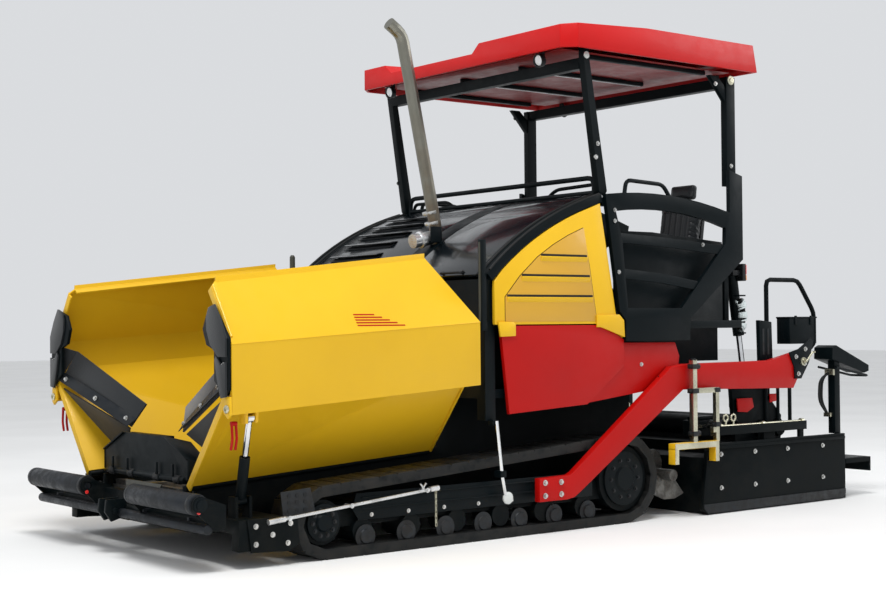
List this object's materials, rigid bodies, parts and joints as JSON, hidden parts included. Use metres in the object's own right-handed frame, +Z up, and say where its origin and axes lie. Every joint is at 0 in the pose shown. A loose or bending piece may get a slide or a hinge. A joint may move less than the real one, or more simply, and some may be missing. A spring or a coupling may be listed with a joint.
{
  "type": "asphalt paver",
  "caption": "Tracked asphalt paver with a yellow folding hopper, a red fold-down canopy over two seats, red tow arms and an extending screed with end plates.",
  "frame": {"origin": "on the ground, under the centre of the overall bounding box, with every joint at rest", "axes": "+X to the machine's left, +Y to its rear (the screed), +Z up; it drives towards -Y"},
  "size_m": [2.71, 6.5, 3.7557],
  "materials": {
    "black": "satin",
    "gloss_black": "gloss",
    "yellow": "gloss",
    "red": "gloss",
    "steel": "worn",
    "chrome": "polished",
    "stainless": "satin",
    "zinc": "zinc plated",
    "rubber": "matte",
    "vinyl": "satin"
  },
  "bodies": {
    "machine": {"chassis_frame": "black", "left_track_frame": "black", "right_track_frame": "black", "left_track": "steel", "right_track": "steel", "conveyor": "steel", "engine_block": "steel", "engine_bay_frame": "black", "exhaust_pipe": "stainless", "left_lower_panel": "red", "right_lower_panel": "red", "operator_platform": "black", "left_side_frame": "black", "right_side_frame": "black", "control_console": "black", "left_seat": "vinyl", "right_seat": "vinyl", "front_handrail": "black", "auger_case": "black"},
    "left_wing": {"left_hopper_wing": "yellow", "left_wing_front_plate": "black", "left_wing_flap": "rubber"},
    "left_wing_barrel": {"left_hopper_cylinder_barrel": "black"},
    "left_wing_rod": {"left_hopper_cylinder_rod": "chrome"},
    "right_wing": {"right_hopper_wing": "yellow", "right_wing_front_plate": "black", "right_wing_flap": "rubber"},
    "right_wing_barrel": {"right_hopper_cylinder_barrel": "black"},
    "right_wing_rod": {"right_hopper_cylinder_rod": "chrome"},
    "apron": {"front_apron": "black"},
    "push_beam": {"push_beam": "black"},
    "left_roller": {"left_push_roller": "steel"},
    "right_roller": {"right_push_roller": "steel"},
    "left_lid": {"left_hood_lid": "gloss_black"},
    "left_door": {"left_side_door": "yellow"},
    "right_lid": {"right_hood_lid": "black"},
    "right_door": {"right_side_door": "yellow"},
    "canopy_rear": {"canopy_rear_posts": "black"},
    "canopy_roof": {"canopy_roof": "red"},
    "canopy_front": {"canopy_front_posts": "black"},
    "screed": {"left_tow_arm": "red", "right_tow_arm": "red", "main_screed": "black"},
    "left_lift_barrel": {"left_lift_cylinder_barrel": "black"},
    "left_lift_rod": {"left_lift_cylinder_rod": "chrome"},
    "left_extension": {"left_screed_extension": "black", "left_end_plate": "black", "left_screed_console": "black", "left_grade_sensor": "zinc"},
    "left_auger": {"left_auger": "steel"},
    "right_lift_barrel": {"right_lift_cylinder_barrel": "black"},
    "right_lift_rod": {"right_lift_cylinder_rod": "chrome"},
    "right_extension": {"right_screed_extension": "black", "right_end_plate": "black", "right_screed_console": "black", "right_grade_sensor": "zinc"},
    "right_auger": {"right_auger": "steel"}
  },
  "joints": [
    {"name": "left_wing_fold", "type": "hinge", "parent": "machine", "child": "left_wing", "pos_m": [0.684, -3, 0.463], "axis": [0, 0.998, 0.0628], "range_deg": [0, 45]},
    {"name": "left_wing_barrel_swing", "type": "hinge", "parent": "machine", "child": "left_wing_barrel", "pos_m": [1.02, -2.8, 0.4], "axis": [0, 0.998, 0.0628], "range_deg": [0, 66]},
    {"name": "left_wing_rod_slide", "type": "slide", "parent": "left_wing_barrel", "child": "left_wing_rod", "axis": [0.3075, -0.0597, 0.9497], "range_m": [-0.217, 0]},
    {"name": "right_wing_fold", "type": "hinge", "parent": "machine", "child": "right_wing", "pos_m": [-0.684, -3, 0.463], "axis": [0, -0.998, -0.0628], "range_deg": [0, 45]},
    {"name": "right_wing_barrel_swing", "type": "hinge", "parent": "machine", "child": "right_wing_barrel", "pos_m": [-1.02, -2.8, 0.4], "axis": [0, -0.998, -0.0628], "range_deg": [0, 66]},
    {"name": "right_wing_rod_slide", "type": "slide", "parent": "right_wing_barrel", "child": "right_wing_rod", "axis": [-0.3075, -0.0597, 0.9497], "range_m": [-0.217, 0]},
    {"name": "front_apron_fold", "type": "hinge", "parent": "machine", "child": "apron", "pos_m": [0, -2.922, 0.5], "axis": [1, 0, 0], "range_deg": [0, 60]},
    {"name": "push_beam_swing", "type": "hinge", "parent": "machine", "child": "push_beam", "pos_m": [0, -3.035, 0.33], "axis": [0, 0, 1], "range_deg": [-4, 4]},
    {"name": "left_push_roller_spin", "type": "hinge", "parent": "push_beam", "child": "left_roller", "pos_m": [0.77, -3.185, 0.42], "axis": [1, 0, 0], "continuous": true},
    {"name": "right_push_roller_spin", "type": "hinge", "parent": "push_beam", "child": "right_roller", "pos_m": [-0.77, -3.185, 0.42], "axis": [1, 0, 0], "continuous": true},
    {"name": "left_hood_lid_hinge", "type": "hinge", "parent": "machine", "child": "left_lid", "pos_m": [0.7, 0.13, 2.43], "axis": [-1, 0, 0], "range_deg": [0, 50]},
    {"name": "right_hood_lid_hinge", "type": "hinge", "parent": "machine", "child": "right_lid", "pos_m": [-0.5, 0.13, 2.43], "axis": [-1, 0, 0], "range_deg": [0, 50]},
    {"name": "left_side_door_hinge", "type": "hinge", "parent": "machine", "child": "left_door", "pos_m": [1.235, -0.9, 1.7], "axis": [0, 0, -1], "range_deg": [0, 90]},
    {"name": "right_side_door_hinge", "type": "hinge", "parent": "machine", "child": "right_door", "pos_m": [-1.235, -0.9, 1.7], "axis": [0, 0, 1], "range_deg": [0, 90]},
    {"name": "canopy_rear_fold", "type": "hinge", "parent": "machine", "child": "canopy_rear", "pos_m": [0, 1.586, 2.62], "axis": [-1, 0, 0], "range_deg": [0, 60]},
    {"name": "canopy_roof_tilt", "type": "hinge", "parent": "canopy_rear", "child": "canopy_roof", "pos_m": [0, 1.586, 3.44], "axis": [1, 0, 0], "range_deg": [0, 54]},
    {"name": "canopy_front_fold", "type": "hinge", "parent": "machine", "child": "canopy_front", "pos_m": [0, 0.171, 2.464], "axis": [-1, 0, 0], "range_deg": [0, 48]},
    {"name": "screed_lift", "type": "hinge", "parent": "machine", "child": "screed", "pos_m": [0, -0.4, 0.32], "axis": [1, 0, 0], "range_deg": [0, 6.5]},
    {"name": "left_lift_barrel_swing", "type": "hinge", "parent": "machine", "child": "left_lift_barrel", "pos_m": [1.035, 1.755, 1.98], "axis": [1, 0, 0], "range_deg": [-3.2, 0]},
    {"name": "left_lift_rod_slide", "type": "slide", "parent": "left_lift_barrel", "child": "left_lift_rod", "axis": [0, 0.1598, -0.9871], "range_m": [-0.29, 0]},
    {"name": "right_lift_barrel_swing", "type": "hinge", "parent": "machine", "child": "right_lift_barrel", "pos_m": [-1.035, 1.755, 1.98], "axis": [1, 0, 0], "range_deg": [-3.2, 0]},
    {"name": "right_lift_rod_slide", "type": "slide", "parent": "right_lift_barrel", "child": "right_lift_rod", "axis": [0, 0.1598, -0.9871], "range_m": [-0.29, 0]},
    {"name": "left_extension_slide", "type": "slide", "parent": "screed", "child": "left_extension", "axis": [1, 0, 0], "range_m": [0, 1.2]},
    {"name": "right_extension_slide", "type": "slide", "parent": "screed", "child": "right_extension", "axis": [-1, 0, 0], "range_m": [0, 1.2]},
    {"name": "left_auger_spin", "type": "hinge", "parent": "machine", "child": "left_auger", "pos_m": [0.6, 0.98, 0.31], "axis": [1, 0, 0], "continuous": true},
    {"name": "right_auger_spin", "type": "hinge", "parent": "machine", "child": "right_auger", "pos_m": [-0.6, 0.98, 0.31], "axis": [1, 0, 0], "continuous": true}
  ],
  "couplings": [
    {"joint": "left_wing_barrel_swing", "follows": "left_wing_fold", "ratio": 1.4},
    {"joint": "left_wing_rod_slide", "follows": "left_wing_fold", "m_per_rad": -0.275},
    {"joint": "right_wing_barrel_swing", "follows": "right_wing_fold", "ratio": 1.4},
    {"joint": "right_wing_rod_slide", "follows": "right_wing_fold", "m_per_rad": -0.275},
    {"joint": "canopy_roof_tilt", "follows": "canopy_rear_fold", "ratio": 0.87},
    {"joint": "canopy_front_fold", "follows": "canopy_rear_fold", "ratio": 0.77},
    {"joint": "left_lift_barrel_swing", "follows": "screed_lift", "ratio": -0.38},
    {"joint": "left_lift_rod_slide", "follows": "screed_lift", "m_per_rad": -2.37},
    {"joint": "right_lift_barrel_swing", "follows": "screed_lift", "ratio": -0.38},
    {"joint": "right_lift_rod_slide", "follows": "screed_lift", "m_per_rad": -2.37}
  ]
}
